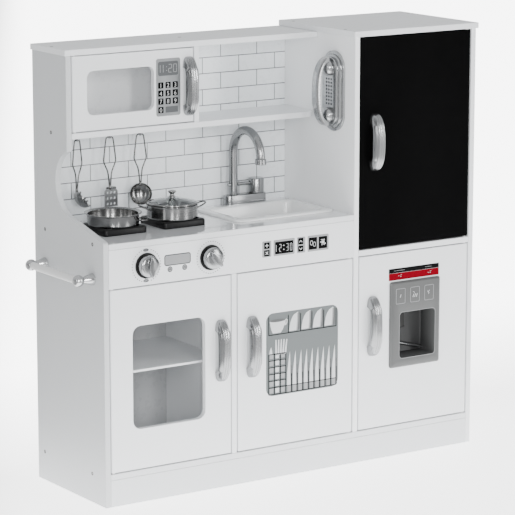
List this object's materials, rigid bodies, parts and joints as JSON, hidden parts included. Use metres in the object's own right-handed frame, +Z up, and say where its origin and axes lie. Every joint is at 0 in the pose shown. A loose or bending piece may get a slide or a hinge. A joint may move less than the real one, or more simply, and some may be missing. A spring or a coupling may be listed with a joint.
{
  "type": "toy kitchen",
  "caption": "White wooden play kitchen with hinged cupboard doors, hob with pan and lidded pot, sink with tap, hanging utensils, wall phone and towel rail.",
  "frame": {"origin": "the middle of the whole kitchen's footprint on the floor, towel rail and door handles included", "axes": "+X along the front towards the tall unit, -Y out of the front, +Z up"},
  "size_m": [0.969, 0.3046, 0.919],
  "materials": {
    "white_board": "smooth satin white paint on fibreboard",
    "tile_board": "satin printed white tile pattern with grey joints",
    "blackboard": "matt blackboard paint",
    "silver_plastic": "silver metallic painted plastic",
    "grey_plastic": "dark silver metallic plastic",
    "black_plastic": "moulded black plastic",
    "pale_plastic": "moulded off-white plastic",
    "basin_plastic": "glossy white vacuum-formed plastic",
    "chrome": "polished",
    "steel": "polished stainless steel",
    "lid_glass": "clear glass lid with a steel rim"
  },
  "bodies": {
    "cabinet": {"left_side_panel": "white_board", "middle_divider": "white_board", "tall_left_panel": "white_board", "right_side_panel": "white_board", "bottom_board": "white_board", "kick_board": "white_board", "tall_back_panel": "white_board", "fridge_floor_board": "white_board", "upper_top_board": "white_board", "tall_top_board": "white_board", "microwave_divider": "white_board", "oven_shelf": "white_board", "upper_shelf_board": "white_board", "countertop": "white_board", "control_fascia": "white_board", "left_back_panel": "tile_board", "sink_basin": "basin_plastic", "oven_door_upper_pin": "pale_plastic", "oven_door_lower_pin": "pale_plastic", "dishwasher_door_upper_pin": "pale_plastic", "dishwasher_door_lower_pin": "pale_plastic", "dispenser_door_upper_pin": "pale_plastic", "dispenser_door_lower_pin": "pale_plastic", "fridge_door_upper_pin": "pale_plastic", "fridge_door_lower_pin": "pale_plastic", "microwave_door_upper_pin": "pale_plastic", "microwave_door_lower_pin": "pale_plastic", "left_knob_collar": "black_plastic", "right_knob_collar": "black_plastic", "left_burner_grate": "black_plastic", "right_burner_grate": "black_plastic", "utensil_hook_rail": "chrome", "tap_base": "silver_plastic", "phone_base": "silver_plastic", "towel_post_front": "chrome", "towel_post_rear": "chrome", "towel_bar": "pale_plastic"},
    "oven_door": {"oven_door": "white_board", "oven_handle": "silver_plastic"},
    "dishwasher_door": {"dishwasher_door": "white_board", "dishwasher_handle": "silver_plastic"},
    "dispenser_door": {"dispenser_door": "white_board", "dispenser_door_handle": "silver_plastic", "dispenser_housing": "grey_plastic"},
    "fridge_door": {"fridge_door": "blackboard", "fridge_handle": "silver_plastic"},
    "microwave_door": {"microwave_door": "white_board", "microwave_handle": "silver_plastic"},
    "dispenser_lever": {"dispenser_lever": "black_plastic"},
    "left_knob": {"left_knob": "silver_plastic"},
    "right_knob": {"right_knob": "silver_plastic"},
    "tap_spout": {"tap_spout": "silver_plastic"},
    "tap_knob": {"tap_knob": "silver_plastic"},
    "phone_handset": {"phone_handset": "silver_plastic"},
    "pan": {"pan": "steel"},
    "pot": {"pot": "steel"},
    "pot_lid": {"pot_lid": "lid_glass"},
    "pasta_server": {"pasta_server": "steel"},
    "slotted_turner": {"slotted_turner": "steel"},
    "ladle": {"ladle": "steel"}
  },
  "joints": [
    {"name": "oven_door_hinge", "type": "hinge", "parent": "cabinet", "child": "oven_door", "pos_m": [-0.419, -0.11875, 0.257], "axis": [0, 0, -1], "range_deg": [0, 100]},
    {"name": "dishwasher_door_hinge", "type": "hinge", "parent": "cabinet", "child": "dishwasher_door", "pos_m": [0.157, -0.11875, 0.257], "axis": [0, 0, 1], "range_deg": [0, 100]},
    {"name": "dispenser_door_hinge", "type": "hinge", "parent": "cabinet", "child": "dispenser_door", "pos_m": [0.46, -0.11875, 0.257], "axis": [0, 0, 1], "range_deg": [0, 100]},
    {"name": "fridge_door_hinge", "type": "hinge", "parent": "cabinet", "child": "fridge_door", "pos_m": [0.46, -0.11875, 0.6826], "axis": [0, 0, 1], "range_deg": [0, 100]},
    {"name": "microwave_door_hinge", "type": "hinge", "parent": "cabinet", "child": "microwave_door", "pos_m": [-0.419, 0.02025, 0.8166], "axis": [0, 0, -1], "range_deg": [0, 100]},
    {"name": "left_knob_turn", "type": "hinge", "parent": "cabinet", "child": "left_knob", "pos_m": [-0.341, -0.12475, 0.485], "axis": [0, -1, 0], "continuous": true},
    {"name": "right_knob_turn", "type": "hinge", "parent": "cabinet", "child": "right_knob", "pos_m": [-0.1895, -0.12475, 0.485], "axis": [0, -1, 0], "continuous": true},
    {"name": "tap_spout_swivel", "type": "hinge", "parent": "cabinet", "child": "tap_spout", "pos_m": [0.0205, 0.11425, 0.5581], "axis": [0, 0, 1], "range_deg": [-60, 60]},
    {"name": "tap_knob_turn", "type": "hinge", "parent": "cabinet", "child": "tap_knob", "pos_m": [0.0791, 0.11425, 0.5581], "axis": [0, 0, 1], "range_deg": [0, 90]},
    {"name": "handset_lift", "type": "slide", "parent": "cabinet", "child": "phone_handset", "axis": [-1, 0, 0], "range_m": [0, 0.08]},
    {"name": "pan_lift", "type": "slide", "parent": "cabinet", "child": "pan", "axis": [0, 0, 1], "range_m": [0, 0.06]},
    {"name": "pot_lift", "type": "slide", "parent": "cabinet", "child": "pot", "axis": [0, 0, 1], "range_m": [0, 0.06]},
    {"name": "pot_lid_lift", "type": "slide", "parent": "pot", "child": "pot_lid", "axis": [0, 0, 1], "range_m": [0, 0.05]},
    {"name": "pasta_server_swing", "type": "hinge", "parent": "cabinet", "child": "pasta_server", "pos_m": [-0.3608, 0.11125, 0.709], "axis": [0, 1, 0], "range_deg": [-10, 10]},
    {"name": "slotted_turner_swing", "type": "hinge", "parent": "cabinet", "child": "slotted_turner", "pos_m": [-0.2843, 0.11125, 0.709], "axis": [0, 1, 0], "range_deg": [-10, 10]},
    {"name": "ladle_swing", "type": "hinge", "parent": "cabinet", "child": "ladle", "pos_m": [-0.2112, 0.11125, 0.709], "axis": [0, 1, 0], "range_deg": [-10, 10]},
    {"name": "dispenser_lever_press", "type": "hinge", "parent": "dispenser_door", "child": "dispenser_lever", "pos_m": [0.3105, -0.09275, 0.309], "axis": [1, 0, 0], "range_deg": [0, 8], "stiffness_Nm_per_rad": 0.05}
  ]
}
